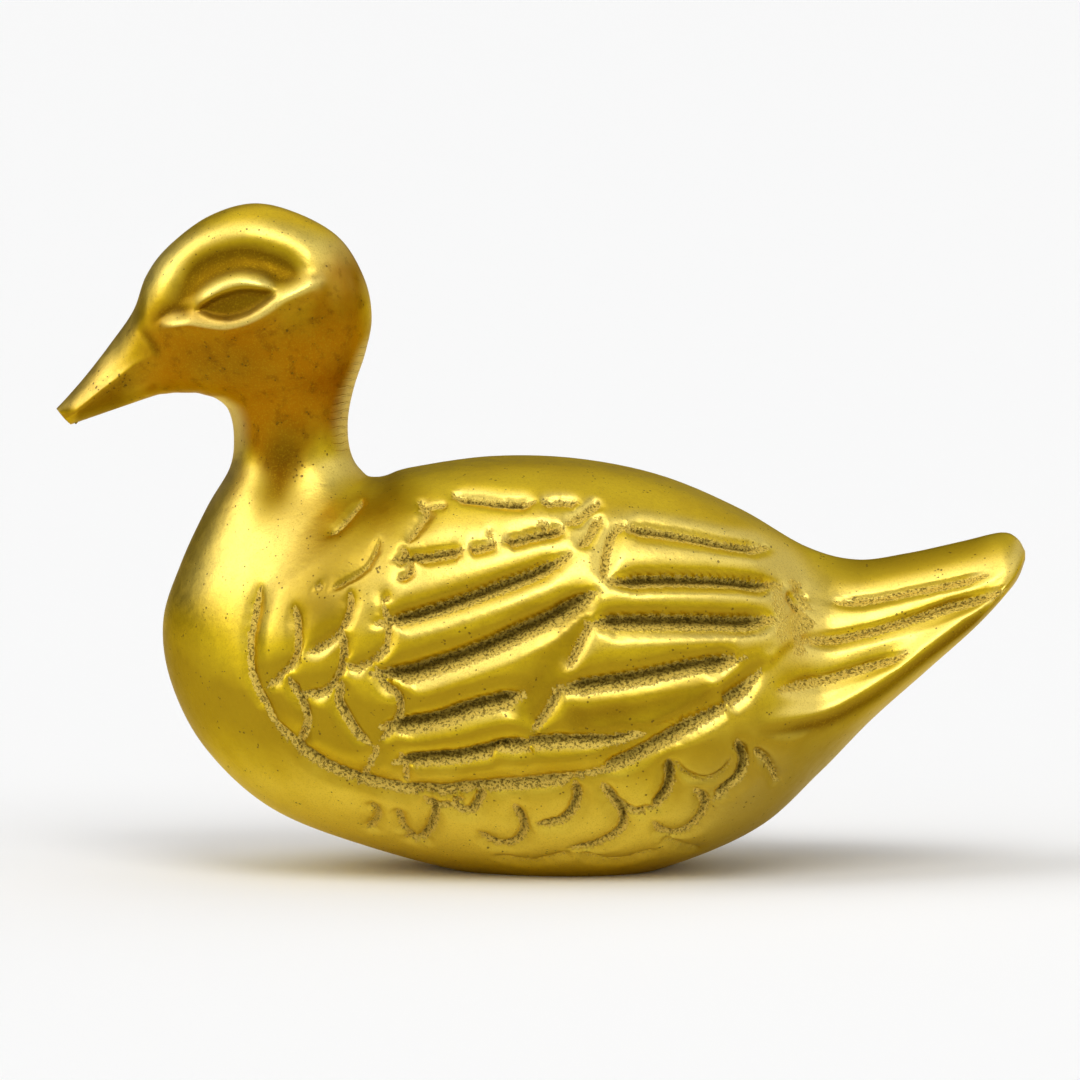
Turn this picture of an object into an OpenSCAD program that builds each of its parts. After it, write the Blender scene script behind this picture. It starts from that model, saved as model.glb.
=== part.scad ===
// Hollow cast brass duck: two half castings brazed together along the middle.
// The duck faces -X and rests on the ground flat of its belly, at z = 0.

/* [Body] */
// Length of the body, from the breast to the root of the tail
body_l = 64; // [60:0.5:70]
// Height of the back above the ground
body_h = 41.2; // [39:0.1:46]
// Width of the body, without the wings that stand out from it
body_w = 41; // [36:0.5:48]
// Depth of the rounding that the ground flat cuts off the belly
flat_d = 1.4; // [0.8:0.1:2]

/* [Neck and head] */
// Width of the neck
neck_w = 12; // [10:0.5:15]
// Depth of the neck, from its front to its back
neck_d = 11.6; // [10:0.1:14]
// Height of the neck, from the back of the duck to its chin
neck_h = 6.3; // [5:0.1:10]
// Length of the head, from the root of the bill to the nape
head_l = 23.2; // [21:0.1:27]
// Height of the head, from chin to crown
head_h = 19.1; // [17:0.1:22]
// Width of the head
head_w = 15.6; // [14:0.1:18]

/* [Bill] */
// Length of the bill beyond the head
bill_l = 7.7; // [5:0.1:12]
// Drop of the tip of the bill below the chin
bill_drop = 3; // [1:0.1:5]
// Width of the bill at its root
bill_w = 8; // [6:0.1:10]
// Height of the blunt end of the bill
bill_tip_h = 1.6; // [1:0.1:3]

/* [Tail] */
// Length of the tail
tail_l = 22.2; // [18:0.1:27]
// Width of the tail at its root
tail_w = 27; // [22:0.5:32]
// Depth of the tail at its root
tail_d = 22.6; // [19:0.1:26]

/* [Casting] */
// Thickness of the cast wall
wall = 2.5; // [1.8:0.1:3]
// Thickness of the layer of braze between the halves
braze_t = 0.3; // [0.2:0.05:0.6]

/* [Wing] */
// Length of the wing
wing_l = 54; // [50:0.5:58]
// Height of the wing
wing_h = 31.5; // [29:0.5:33]
// Distance of the front of the wing behind the breast
wing_x = 8.8; // [7:0.1:12]
// Distance of the top of the wing below the back
wing_drop = 2.2; // [1.5:0.1:4]
// Height by which the wing stands out from the body
wing_out = 0.8; // [0.4:0.1:1.2]

/* [Carving] */
// Width of the grooves between the feathers
groove_w = 1.5; // [1:0.1:1.8]
// Depth of the grooves between the feathers
groove_d = 0.6; // [0.3:0.05:0.8]
// Number of small scallops along the belly
scallops = 7; // [0:1:8]
// Width of one scallop
scallop_w = 3.8; // [2.5:0.1:4.2]
// Height of one scallop
scallop_h = 3.6; // [2:0.1:4.5]

/* [Eye] */
// Length of the eye
eye_l = 7.6; // [6:0.1:9]
// Width of the open eye
eye_w = 2.6; // [1.5:0.1:3]
// Depth of the eye
eye_d = 0.7; // [0.4:0.1:1]
// Height of the eye above the chin
eye_z = 9; // [8:0.1:10]

/* [Hidden] */

// Longest step of the skin along the duck, and steps round a half section of skin and cavity
skin_step = 4;
steps_v = 16;
cavity_steps_v = 7;
// Length of one straight step of a carved line
carve_step = 2.3;
// Height of the carving tools above the skin, and the length of their front and back edge
tool_h = 0.5;
tool_tip = 0.3;
// The cavity begins and ends at these stations, and the scallops at these places of the
// lower edge of the wing
cavity_ends = [4, 29];
scallop_row = [4, 7.4];
// The carved lines are drawn on a plane that leans back 5 degrees, and go square to it
lean = tan(5);

// Stations run from the tip of the tail to the bill. A row holds the upper and the lower
// point of a half section, its half width and the height of its widest place. Points are
// in percent of the member's own length and height, and widths of its own half width.

// Tail, from the upper end of its root
tail_rows = [
    [100, -2, 100, -6, 4, 50],
    [96.6, 3.5, 97, -13.7, 26, 70],
    [89.4, 6.2, 91.2, -21.2, 42, 82],
    [71.3, 2.2, 77.2, -35.8, 59, 86],
    [46.5, -3.1, 54.2, -56.2, 75, 82],
    [23.9, -5.8, 30.7, -77, 89, 78],
    [1.4, 0, 8, -100, 102, 73],
];
// Body, from the front of the breast and the bottom of the belly
body_rows = [
    [90.3, 87.6, 93.4, 13.6, 84, 66],
    [77.8, 95.5, 80.2, 4.6, 96, 58],
    [64.5, 99.5, 66.1, 0, 100, 53],
    [51.3, 100, 49.7, 1.9, 100, 50],
    [38.9, 97.4, 31.7, 8.7, 95, 50],
    [34.8, 95.5, 16.9, 17.6, 88, 50],
    [33.1, 95.2, 6.7, 31.5, 79, 50],
    [32, 95.5, 1.3, 46.9, 66, 50],
    [31.1, 96.7, 0, 61.5, 54, 50],
    [30, 98.8, 2.8, 75.1, 43, 50],
];
// Neck, from its own axis and the height of the back
neck_rows = [
    [50.9, 12.7, -72.4, -79.4, 120, 50],
    [49.1, 39.7, -52.6, -15.9, 103, 50],
    [50, 73, -49.1, 34.9, 97, 50],
    [55.2, 115.9, -53.4, 74.6, 100, 50],
];
// Head, from the neck's axis and the height of the chin
head_rows = [
    [32.3, 22.5, -31.9, -2.1, 88, 50],
    [34.9, 40.3, -37.1, 0, 96, 50],
    [31.9, 60.2, -40.5, 1, 100, 50],
    [21.6, 81.2, -43.1, 1, 100, 50],
    [4.3, 94.2, -45.3, 1, 99, 50],
    [-15.5, 100, -47.4, 1, 94, 50],
    [-35.3, 93.2, -50, 1, 85, 50],
    [-52.6, 77.5, -53.4, 0.5, 73, 50],
    [-62.1, 62.3, -56.9, 0, 62, 52],
    [-67.7, 44, -61.2, -1.6, 53, 54],
];
// Bill: share of its length from the root, and half width in percent
bill_rows = [[0.3, 92], [0.6, 82], [0.85, 68], [1, 30]];

// Where the members begin, measured from the breast and the ground
belly_z = -flat_d;
body_size = [body_l, body_h + flat_d];
tail_root = [body_l, 0.79 * body_size.y + belly_z];
neck_foot = [0.2 * body_l, body_h];
chin = neck_foot + [0, neck_h];

// Places in a station
U = 0;
L = 1;
W = 2;
M = 3;
E = 4;

// Stations of one member: origin, size, half width and roundness of its sections
function member(rows, o, size, half_w, e) = [
    for (r = rows)
        [
            o + [r[0] * size.x, r[1] * size.y] / 100,
            o + [r[2] * size.x, r[3] * size.y] / 100,
            r[4] * half_w / 100,
            r[5] / 100,
            e,
        ]
];

// Stations of the bill, drawn straight from the last section of the head to the blunt end
function bill(root) =
    let(
        top = [root[U].x - bill_l, chin.y - bill_drop + bill_tip_h],
        low = top + bill_tip_h * [0.9, -1]
    )
    [
        for (r = bill_rows)
            let(t = r[0])
            [
                root[U] + (top - root[U]) * t - [0, 0.25 * bill_l * t * (1 - t)],
                root[L] + (low - root[L]) * t,
                (bill_w - braze_t) / 2 * r[1] / 100,
                0.6,
                1.5,
            ]
    ];

head_stations = member(head_rows, chin, [head_l, head_h], (head_w - braze_t) / 2, 2.1);
stations = concat(
    member(tail_rows, tail_root, [tail_l, tail_d], (tail_w - braze_t) / 2, 1.45),
    member(body_rows, [0, belly_z], body_size, (body_w - braze_t) / 2, 2.1),
    member(neck_rows, neck_foot, [neck_d, neck_h], (neck_w - braze_t) / 2, 2),
    head_stations,
    bill(head_stations[len(head_stations) - 1])
);

// Smooth curve through a list of points, at place t: 0 is the first point
function curve(list, t) =
    let(
        n = len(list) - 1,
        i = min(n - 1, floor(t)),
        f = t - i,
        a = list[max(0, i - 1)],
        b = list[i],
        c = list[i + 1],
        d = list[min(n, i + 2)]
    )
    b + (f * (c - a) + f * f * (2 * a - 5 * b + 4 * c - d)
        + f * f * f * (3 * b - a - 3 * c + d)) / 2;

// Rungs: the half sections from which the skin is lofted, and their places on the curve
function reach(a, b) = max(norm(b[U] - a[U]), norm(b[L] - a[L]));
places = [
    for (i = [1:len(stations) - 1])
        let(n = ceil(reach(stations[i - 1], stations[i]) / skin_step))
        for (k = [0:n - 1]) i - 1 + k / n,
    len(stations) - 1,
];
rungs = [for (t = places) curve(stations, t)];
rung_count = len(rungs);

// The origin lies under the middle of the whole length
ends = [for (r = rungs) each [r[U].x, r[L].x]];
mid_x = (min(ends) + max(ends)) / 2;

// Half width of a section at a share s of the way from its upper to its lower point
function half_width(r, s) =
    let(
        t = max(0, min(1, s)),
        q = t < r[M] ? 1 - t / r[M] : (t - r[M]) / (1 - r[M])
    )
    r[W] * pow(1 - pow(q, r[E]), 1 / r[E]);

// How far a point lies ahead of a rung, towards the bill
function ahead(r, p) = cross(p - r[U], r[L] - r[U]);

// The last rung that the point p is ahead of, between rungs a and b
function rung_before(p, a = 0, b = rung_count - 1) =
    b - a <= 1
        ? a
        : let(m = floor((a + b) / 2)) ahead(rungs[m], p) > 0
        ? rung_before(p, m, b)
        : rung_before(p, a, m);

// Half width of the smooth body at a point of its side view
function smooth_y(p) =
    let(
        i = rung_before(p),
        a = ahead(rungs[i], p),
        b = ahead(rungs[i + 1], p),
        f = max(0, min(1, a / (a - b))),
        r = rungs[i] + f * (rungs[i + 1] - rungs[i]),
        d = r[L] - r[U]
    )
    half_width(r, (p - r[U]) * d / (d * d));

// Distance from a point to a chain of straight lines
function to_segment(p, a, b) =
    let(t = max(0, min(1, (p - a) * (b - a) / ((b - a) * (b - a)))))
    norm(p - a - t * (b - a));
function to_line(p, pts) =
    min([for (i = [1:len(pts) - 1]) to_segment(p, pts[i - 1], pts[i])]);

// Is a point inside a closed outline? Its edges are crossed an odd number of times
function inside(p, pts) =
    let(
        crossed = [
            for (i = [0:len(pts) - 1])
                let(a = pts[i], b = pts[(i + 1) % len(pts)])
                if ((a.y > p.y) != (b.y > p.y)
                    && p.x < a.x + (b.x - a.x) * (p.y - a.y) / (b.y - a.y)) 1
        ]
    )
    len(crossed) % 2 == 1;

// Soft step from 0 to 1
function soft(t) = let(c = max(0, min(1, t))) c * c * (3 - 2 * c);

// Wing: lines are drawn from its lower front corner, in millimetres on a wing of this size
wing_drawn = [54, 31.5];
wing_at = [wing_x, body_h - wing_drop - wing_h];
function wing(pts) = [
    for (p = pts)
        wing_at + [p.x * wing_l / wing_drawn.x, p.y * wing_h / wing_drawn.y]
];

// Front and lower edge of the wing, from the shoulder round to the tips of its feathers
shoulder = wing([[11.6, 31.7], [6.8, 28.4], [3.2, 24.5], [1.2, 20.7]]);
wing_edge = wing([
    [1.2, 20.7], [0.1, 15.8], [1.1, 10.2], [5.6, 4.4], [14, 1], [25, 1],
    [34, 2.3], [42, 6.2], [50.6, 12.6],
]);
wing_outline = concat(shoulder, wing_edge, wing([[70, 20], [70, 50], [11.6, 50]]));

// Brow: soft hollow above the eye
eye_at = chin + [-5, eye_z];
brow = [for (p = [[-6.3, 1.9], [-0.3, 4.6], [6.4, 2.7]]) eye_at + p];

// How far the skin stands out from the smooth body, at a point of the drawing
function relief(p) =
    let(
        edge = concat(shoulder, wing_edge),
        fade = soft((wing_at.x + wing_l + 4 - p.x) / 10),
        d = to_line(p, brow)
    )
    (inside(p, wing_outline) ? wing_out * fade * soft(to_line(p, edge) / 2.5) : 0)
    - 0.5 * exp(-d * d / 3);

// Half width of the skin, with its relief, at a point of the side view
function skin_y(p) =
    let(y = smooth_y(p)) y + relief(p - [0, lean * y]) * min(1, y / 4);

// Side view of the place where a drawn point lands on the skin
function landing(p, tries = 3) =
    tries == 0
        ? p
        : let(q = landing(p, tries - 1)) [p.x, p.y + lean * skin_y(q)];

// Place in space of a point of the left skin, and the outward direction there
function on_skin(p) = [p.x, -skin_y(p), p.y];
function outward(p, h = 0.4) =
    let(
        n = [
            skin_y(p - [h, 0]) - skin_y(p + [h, 0]),
            -2 * h,
            skin_y(p - [0, h]) - skin_y(p + [0, h]),
        ]
    )
    n / norm(n);

// Loft through closed sections, with a flat end at the first and the last of them
module loft(sections) {
    n = len(sections);
    m = len(sections[0]);
    sides = [
        for (i = [0:n - 2], k = [0:m - 1])
            let(a = i * m + k, b = i * m + (k + 1) % m)
            each [[a, b, b + m], [a, b + m, a + m]]
    ];
    first = [[for (k = [m - 1:-1:0]) k]];
    last = [[for (k = [0:m - 1]) (n - 1) * m + k]];
    polyhedron(points = [for (s = sections) each s], faces = concat(sides, first, last));
}

// Half section of the skin at one rung, from its upper to its lower point
function skin_section(r) = [
    for (k = [0:steps_v])
        let(
            a = 180 * k / steps_v,
            c = pow(abs(cos(a)), 2 / r[E]),
            s = a < 90 ? r[M] * (1 - c) : r[M] + (1 - r[M]) * c,
            y = r[W] * pow(sin(a), 2 / r[E]),
            p = r[U] + s * (r[L] - r[U])
        )
        [p.x, -y - relief(p - [0, lean * y]) * min(1, y / 4), p.y]
];

// Outline of the cavity: stations drawn in by the wall, from the tail to the bill
cavity_rungs = [
    for (t = places)
        if (t >= cavity_ends[0] && t <= cavity_ends[1])
        let(
            r = curve(stations, t),
            du = curve(stations, t + 0.1)[U] - curve(stations, t - 0.1)[U],
            dl = curve(stations, t + 0.1)[L] - curve(stations, t - 0.1)[L]
        )
        [
            r[U] + wall * [-du.y, du.x] / norm(du),
            r[L] + wall * [dl.y, -dl.x] / norm(dl),
            r[W] - wall,
            r[M],
            r[E],
        ]
];

// Half section of the cavity, carried on past the middle so that the half stays open there
function cavity_section(r) = [
    [r[U].x, 1, r[U].y],
    for (k = [0:cavity_steps_v])
        let(
            a = 180 * k / cavity_steps_v,
            c = pow(abs(cos(a)), 2 / r[E]),
            s = a < 90 ? r[M] * (1 - c) : r[M] + (1 - r[M]) * c,
            p = r[U] + s * (r[L] - r[U])
        )
        [p.x, -r[W] * pow(sin(a), 2 / r[E]), p.y],
    [r[L].x, 1, r[L].y],
];

// Length of a chain of points
function chain_length(pts) =
    len(pts) < 2 ? 0 : norm(pts[1] - pts[0]) + chain_length([for (i = [1:len(pts) - 1]) pts[i]]);

// Carved line along drawn points: a V cut to the given depth, or a ridge if it is negative
module carve(pts, width = groove_w, depth = groove_d, step = carve_step, almond = false) {
    n = max(3, round(chain_length(pts) / step));
    side = depth > 0 ? tool_h : -tool_h;
    path = [for (i = [0:n]) landing(curve(pts, i * (len(pts) - 1) / n))];
    tools = [
        for (i = [0:n])
            let(
                p = on_skin(path[i]),
                out = outward(path[i]),
                along = on_skin(path[min(n, i + 1)]) - on_skin(path[max(0, i - 1)]),
                across = cross(out, along) / norm(cross(out, along)),
                t = i / n,
                share = almond ? 0.1 + 0.9 * sin(180 * t) : min(1, 0.4 + 2.4 * min(t, 1 - t)),
                half = share * width / 2 * (1 + abs(side / depth))
            )
            [
                p - out * depth * share,
                p + out * side + across * half,
                p + out * side - across * half,
                p + out * side + tool_tip * along / norm(along),
                p + out * side - tool_tip * along / norm(along),
            ]
    ];
    sides = [[0, 1, 3], [0, 3, 2], [0, 2, 4], [0, 4, 1], [1, 4, 2], [1, 2, 3]];
    for (i = [1:n])
        hull() {
            polyhedron(tools[i - 1], sides);
            polyhedron(tools[i], sides);
        }
}

// Long feathers of the wing: the grooves between those of the arm and of the hand
module flight_feathers() {
    for (line = [
        [[20.4, 29.9], [25, 30.1], [32.6, 29.3]],
        [[14.7, 23.8], [20.1, 24.5], [25.6, 25.6], [31.1, 26.8], [34.7, 29.3]],
        [[13.1, 17.4], [19.7, 19.3], [25.1, 21.3], [31.7, 24.1]],
        [[12.8, 12.5], [17, 12.8], [23, 14.9], [34.1, 20.3]],
        [[13.4, 7], [18.5, 7.7], [27.2, 10.1]],
        [[14.6, 3.5], [21.5, 4.1], [32, 5.7], [39.1, 6.1]],
        [[25.1, 2.2], [33.3, 3.3], [39.1, 4.9]],
        [[36.9, 27], [35.2, 24.5], [34.9, 21.5]],
        [[33.7, 17.2], [31.4, 12.5], [28.1, 6.8]],
        [[37.1, 26.9], [43.5, 26], [51.4, 24.8]],
        [[35.8, 21.6], [41.7, 22], [47.1, 22], [52.8, 21.2]],
        [[34, 17.2], [38.1, 17.8], [45.3, 17.8], [52.1, 17.8]],
        [[31, 11], [38.1, 12], [43.5, 13.1], [48.5, 13.9]],
    ])
        carve(wing(line));
}

// Short feathers of the shoulder
module coverts() {
    for (line = [
        [[11.7, 26.2], [11.1, 24.7], [7.9, 22]],
        [[9.4, 21.7], [9.2, 19.3], [8.2, 17.7], [5.2, 16.1]],
        [[4.3, 19.9], [4.3, 16.7], [3.3, 14.5], [1.2, 11.6]],
        [[8.2, 17.7], [8.4, 15.3], [7.9, 12.9], [4.9, 11.6]],
        [[3.3, 13.2], [5.1, 9.5], [4.4, 7.8]],
        [[11.7, 19.9], [12.5, 18.2], [11.6, 15], [9.4, 14.2]],
        [[10.8, 13.7], [9, 12.6], [8.9, 10.7], [11.1, 7.6]],
        [[11.6, 13.9], [13, 11.5], [12.1, 8]],
        [[11, 6.8], [10.7, 5], [9.6, 3.4]],
        [[14.6, 29.6], [15.6, 28.8], [13.7, 26.3], [14.3, 23.6]],
    ])
        carve(wing(line), width = 0.8 * groove_w, depth = 0.8 * groove_d);
}

// Scallops: a row of small feathers that hang below the edge of the wing
module belly_scallops() {
    for (k = [0:1:scallops - 1])
        let(
            t = scallop_row[0] + (scallop_row[1] - scallop_row[0]) * (k + 0.5) / scallops,
            top = curve(wing_edge, t) - [0, groove_w]
        )
        carve(
            [for (a = [0:45:180]) top - [scallop_w / 2 * cos(a), scallop_h * sin(a)]],
            width = 0.8 * groove_w,
            depth = 0.8 * groove_d,
            step = 1.6
        );
}

// Tail feathers: lines in percent of the tail, like its stations
module tail_feathers() {
    for (line = [
        [[14, -25], [48, -19], [82, -13]],
        [[0, -42], [46, -32], [90, -19]],
        [[-13, -64], [15, -55], [46, -47]],
    ])
        carve([for (p = line) tail_root + [p.x * tail_l, p.y * tail_d] / 100]);
}

// Eye and lids, drawn from the middle of the eye
function eye_line(pts) = [for (p = pts) eye_at + p * eye_l / 7.6];

module lids() {
    carve(eye_line([[-4.7, 0.3], [-2.5, 1.6], [0, 2.7], [2.3, 2.3], [4, 0.8]]), 1.6, -0.4);
    carve(eye_line([[-7.8, -1.4], [-3, -2.4], [1, -2.7], [4, -0.9], [8, 2.3]]), 1.8, -0.4);
}

module eye() {
    carve(eye_line([[-3.8, -0.2], [-1.3, 0.2], [1.3, 0.8], [3.8, 1.1]]), eye_w, eye_d, 1, true);
}

// One cast half, on the left side of the middle
module half_casting() {
    translate([-mid_x, -braze_t / 2, 0])
    difference() {
        union() {
            loft([for (r = rungs) skin_section(r)]);
            lids();
        }
        loft([for (r = cavity_rungs) cavity_section(r)]);
        carve(wing_edge);
        flight_feathers();
        coverts();
        belly_scallops();
        tail_feathers();
        eye();
        translate([0, -body_w, -10]) cube([2 * body_l, 2 * body_w, 10]);
    }
}

module left_half() {
    color("goldenrod") half_casting();
}

module right_half() {
    color("goldenrod") mirror([0, 1, 0]) half_casting();
}

// Layer of braze, as wide as the two rims that it joins
module braze_seam() {
    color("khaki")
    translate([-mid_x, braze_t / 2, 0])
    rotate([90, 0, 0])
    linear_extrude(braze_t)
    difference() {
        polygon(concat([for (r = rungs) r[U]], [for (k = [rung_count - 1:-1:0]) rungs[k][L]]));
        polygon(concat(
            [for (r = cavity_rungs) r[U]],
            [for (k = [len(cavity_rungs) - 1:-1:0]) cavity_rungs[k][L]]
        ));
        translate([0, -10]) square([2 * body_l, 10]);
    }
}

left_half();
right_half();
braze_seam();
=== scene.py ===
# %% [markdown]
# # A hollow duck of cast brass
#
# The CAD model gives the two half castings and the layer of braze between them. This lesson
# dresses them as the real thing: a small sand casting, 97 mm long, whose feathers were cut into
# the pattern, and which was filed along its seam and polished by hand. Every length here is
# worked out in millimetres and turned into metres when a mesh is made.

# %% The frame
import math

import bpy
import numpy as np
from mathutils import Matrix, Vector, kdtree


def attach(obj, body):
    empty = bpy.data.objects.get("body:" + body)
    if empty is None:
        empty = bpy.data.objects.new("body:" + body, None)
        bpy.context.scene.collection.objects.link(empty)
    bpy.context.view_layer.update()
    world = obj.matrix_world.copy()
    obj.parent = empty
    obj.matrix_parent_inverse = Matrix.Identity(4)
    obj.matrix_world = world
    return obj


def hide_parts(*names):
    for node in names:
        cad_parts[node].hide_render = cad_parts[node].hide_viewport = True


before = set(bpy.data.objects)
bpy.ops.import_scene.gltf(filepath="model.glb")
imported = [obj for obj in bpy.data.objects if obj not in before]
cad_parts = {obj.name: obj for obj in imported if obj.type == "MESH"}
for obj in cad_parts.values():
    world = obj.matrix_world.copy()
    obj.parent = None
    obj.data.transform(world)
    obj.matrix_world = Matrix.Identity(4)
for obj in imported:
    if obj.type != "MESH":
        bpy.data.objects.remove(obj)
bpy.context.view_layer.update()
MM = 0.001

# %% [markdown]
# ## Camera
#
# The duck is seen from its left side, from far away and a little above. A long lens keeps the
# far side of the wing as large as the near side, as in the photograph. The other choice, an
# orthographic camera, would do the same but behaves less like a real one.

# %% Camera
VIEW_ASIDE, VIEW_HEIGHT, VIEW_WIDTH = -0.1, 32.9, 108.0
CAMERA_LENS, SENSOR_WIDTH = 400.0, 36.0
CAMERA_TILT = math.radians(5)
FARTHEST = 20.0

lens = bpy.data.cameras.new("camera")
lens.lens = CAMERA_LENS
lens.sensor_width = SENSOR_WIDTH
lens.clip_end = FARTHEST
camera = bpy.data.objects.new("camera", lens)
away = VIEW_WIDTH * CAMERA_LENS / SENSOR_WIDTH
camera.location = Vector(
    (VIEW_ASIDE, -away * math.cos(CAMERA_TILT), VIEW_HEIGHT + away * math.sin(CAMERA_TILT))
) * MM
camera.rotation_euler = (math.pi / 2 - CAMERA_TILT, 0, 0)
bpy.context.scene.collection.objects.link(camera)
bpy.context.scene.camera = camera
bpy.context.scene.view_settings.view_transform = "Standard"
print("Camera distance, mm:", round(away))

# %% [markdown]
# ## Node maths
#
# Both the geometry and the materials below are small sums on sockets. A class that wraps one
# socket lets us write them as expressions: each operator adds a Math node. Every other kind of
# node comes from the method `node`, which sets the node's own settings first and then feeds its
# sockets with values or with other wrapped sockets.


# %% Socket
class Socket:
    """One output of a node. Arithmetic on it adds Math nodes to its tree."""

    def __init__(self, tree, output=None):
        self.tree = tree
        self.output = output

    def node(self, kind, feeds=None, give=0, **settings):
        """Add a node, set its own settings, feed its sockets and wrap one of its outputs."""
        made = self.tree.nodes.new(kind)
        for name, value in settings.items():
            setattr(made, name, value)
        for name, value in (feeds or {}).items():
            if isinstance(value, Socket):
                self.tree.links.new(value.output, made.inputs[name])
            else:
                made.inputs[name].default_value = value
        return Socket(self.tree, made.outputs[give])

    def give(self, name):
        """Another output of the same node."""
        return Socket(self.tree, self.output.node.outputs[name])

    def maths(self, operation, *others):
        """A Math node on this number and the others."""
        values = [self, *others]
        return self.node("ShaderNodeMath", dict(enumerate(values)), operation=operation)

    def __add__(self, other):
        return self.maths("ADD", other)

    def __sub__(self, other):
        return self.maths("SUBTRACT", other)

    def __mul__(self, other):
        return self.maths("MULTIPLY", other)

    def __truediv__(self, other):
        return self.maths("DIVIDE", other)

    def __rsub__(self, other):
        return self.node("ShaderNodeMath", {0: other, 1: self}, operation="SUBTRACT")

    __radd__ = __add__
    __rmul__ = __mul__

    def soft(self, start, end):
        """0 before start, 1 after end, and smooth between them."""
        return self.node(
            "ShaderNodeMapRange",
            {"Value": self, 1: start, 2: end},
            interpolation_type="SMOOTHSTEP",
        )

    def clamp(self):
        """The number held between 0 and 1."""
        return self.node("ShaderNodeClamp", {"Value": self})

    def mix(self, other, share):
        """This number where share is 0, the other where it is 1."""
        return self * (1 - share) + other * share


# %% [markdown]
# ## Stations
#
# The skin is lofted through half sections, from the tip of the tail over the body, the breast,
# the neck and the head to the bill. Each row is one station, in per cent of its member's size:
# its upper point, its lower point, its half width and how far down its widest place lies. They
# are the rows of the CAD source, so that both models share one skin. A row of the bill is how
# far along it lies and its half width. A box that is pushed about and subdivided would give a
# duck too, but not this one.

# %% Stations
BODY_L, BODY_H, BODY_W, FLAT_D = 64, 41.2, 41, 1.4
NECK_W, NECK_D, NECK_H = 12, 11.6, 6.3
HEAD_L, HEAD_H, HEAD_W = 23.2, 19.1, 15.6
BILL_L, BILL_DROP, BILL_W, BILL_TIP = 7.7, 3, 8, 1.6
TAIL_L, TAIL_W, TAIL_D = 22.2, 27, 22.6
WALL, BRAZE = 2.5, 0.3
# Squareness of a section: pointed at its widest place, an ellipse, or a little fuller
EDGED, ROUND, FULL = 1.45, 2, 2.1

TAIL_ROWS = [
    [100, -2, 100, -6, 4, 50],
    [96.6, 3.5, 97, -13.7, 26, 70],
    [89.4, 6.2, 91.2, -21.2, 42, 82],
    [71.3, 2.2, 77.2, -35.8, 59, 86],
    [46.5, -3.1, 54.2, -56.2, 75, 82],
    [23.9, -5.8, 30.7, -77, 89, 78],
    [1.4, 0, 8, -100, 102, 73],
]
BODY_ROWS = [
    [90.3, 87.6, 93.4, 13.6, 84, 66],
    [77.8, 95.5, 80.2, 4.6, 96, 58],
    [64.5, 99.5, 66.1, 0, 100, 53],
    [51.3, 100, 49.7, 1.9, 100, 50],
    [38.9, 97.4, 31.7, 8.7, 95, 50],
    [34.8, 95.5, 16.9, 17.6, 88, 50],
    [33.1, 95.2, 6.7, 31.5, 79, 50],
    [32, 95.5, 1.3, 46.9, 66, 50],
    [31.1, 96.7, 0, 61.5, 54, 50],
    [30, 98.8, 2.8, 75.1, 43, 50],
]
NECK_ROWS = [
    [50.9, 12.7, -72.4, -79.4, 120, 50],
    [49.1, 39.7, -52.6, -15.9, 103, 50],
    [50, 73, -49.1, 34.9, 97, 50],
    [55.2, 115.9, -53.4, 74.6, 100, 50],
]
HEAD_ROWS = [
    [32.3, 22.5, -31.9, -2.1, 88, 50],
    [34.9, 40.3, -37.1, 0, 96, 50],
    [31.9, 60.2, -40.5, 1, 100, 50],
    [21.6, 81.2, -43.1, 1, 100, 50],
    [4.3, 94.2, -45.3, 1, 99, 50],
    [-15.5, 100, -47.4, 1, 94, 50],
    [-35.3, 93.2, -50, 1, 85, 50],
    [-52.6, 77.5, -53.4, 0.5, 73, 50],
    [-62.1, 62.3, -56.9, 0, 62, 52],
    [-67.7, 44, -61.2, -1.6, 53, 54],
]
BILL_ROWS = [[0.3, 92], [0.6, 82], [0.85, 68], [1, 30]]
BILL_DISH, BILL_WIDEST, BILL_SQUARE = 0.25, 0.6, 1.5


def member(rows, origin, size, width, square):
    """Stations of one member: upper point, lower point, half width, widest place, squareness."""
    rows = np.array(rows, float)
    table = np.zeros((len(rows), 7))
    table[:, 0:2] = np.array(origin) + rows[:, 0:2] * size / 100
    table[:, 2:4] = np.array(origin) + rows[:, 2:4] * size / 100
    table[:, 4] = rows[:, 4] * (width - BRAZE) / 200
    table[:, 5] = rows[:, 5] / 100
    table[:, 6] = square
    return table


def bill(root, chin_z):
    """Stations of the bill, whose upper line is dished, from the last one of the head."""
    top = np.array([root[0] - BILL_L, chin_z - BILL_DROP + BILL_TIP])
    low = top + BILL_TIP * np.array([0.9, -1])
    return np.array([
        [
            *(root[0:2] + (top - root[0:2]) * t - [0, BILL_DISH * BILL_L * t * (1 - t)]),
            *(root[2:4] + (low - root[2:4]) * t),
            (BILL_W - BRAZE) / 2 * share / 100,
            BILL_WIDEST,
            BILL_SQUARE,
        ]
        for t, share in BILL_ROWS
    ])


body_size = np.array([BODY_L, BODY_H + FLAT_D])
tail_root = np.array([BODY_L, 0.79 * body_size[1] - FLAT_D])
neck_foot = np.array([0.2 * BODY_L, BODY_H])
chin = neck_foot + [0, NECK_H]
head = member(HEAD_ROWS, chin, np.array([HEAD_L, HEAD_H]), HEAD_W, FULL)
stations = np.vstack([
    member(TAIL_ROWS, tail_root, np.array([TAIL_L, TAIL_D]), TAIL_W, EDGED),
    member(BODY_ROWS, [0, -FLAT_D], body_size, BODY_W, FULL),
    member(NECK_ROWS, neck_foot, np.array([NECK_D, NECK_H]), NECK_W, ROUND),
    head,
    bill(head[-1], chin[1]),
])
print("Stations:", len(stations))

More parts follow.
